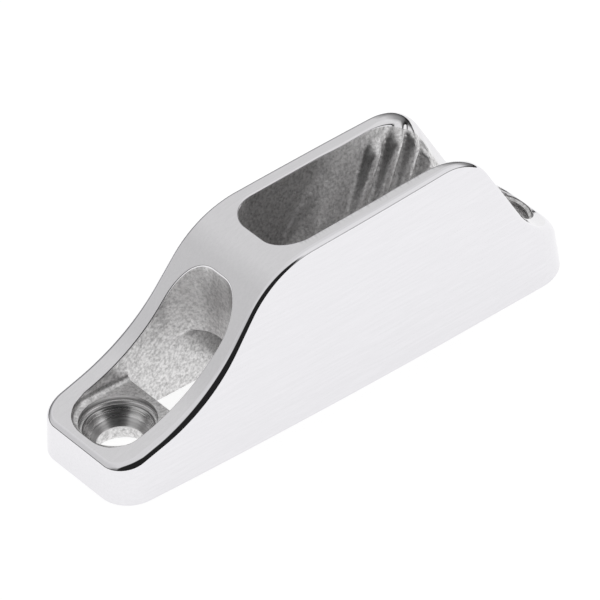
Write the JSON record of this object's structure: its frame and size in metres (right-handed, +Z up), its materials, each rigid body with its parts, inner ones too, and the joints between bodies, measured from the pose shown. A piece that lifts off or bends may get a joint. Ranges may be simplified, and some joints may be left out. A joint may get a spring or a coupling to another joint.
{
  "type": "cam cleat",
  "caption": "Fixed jam cleat cast in one piece: a fairlead pocket and bridge lead the rope into a ribbed V groove between two tall cheeks.",
  "frame": {"origin": "middle of the mounting face, on the surface that the cleat is screwed to", "axes": "+X along the rope from the low front end to the tall rear end, +Z up off the mounting face, +Y to the left of +X"},
  "size_m": [0.08, 0.022, 0.0268],
  "materials": {
    "cast_stainless": "mirror polished outside, as cast in the rope channel, machined screw seats"
  },
  "bodies": {
    "root": {"cleat_body": "cast_stainless"}
  },
  "joints": []
}
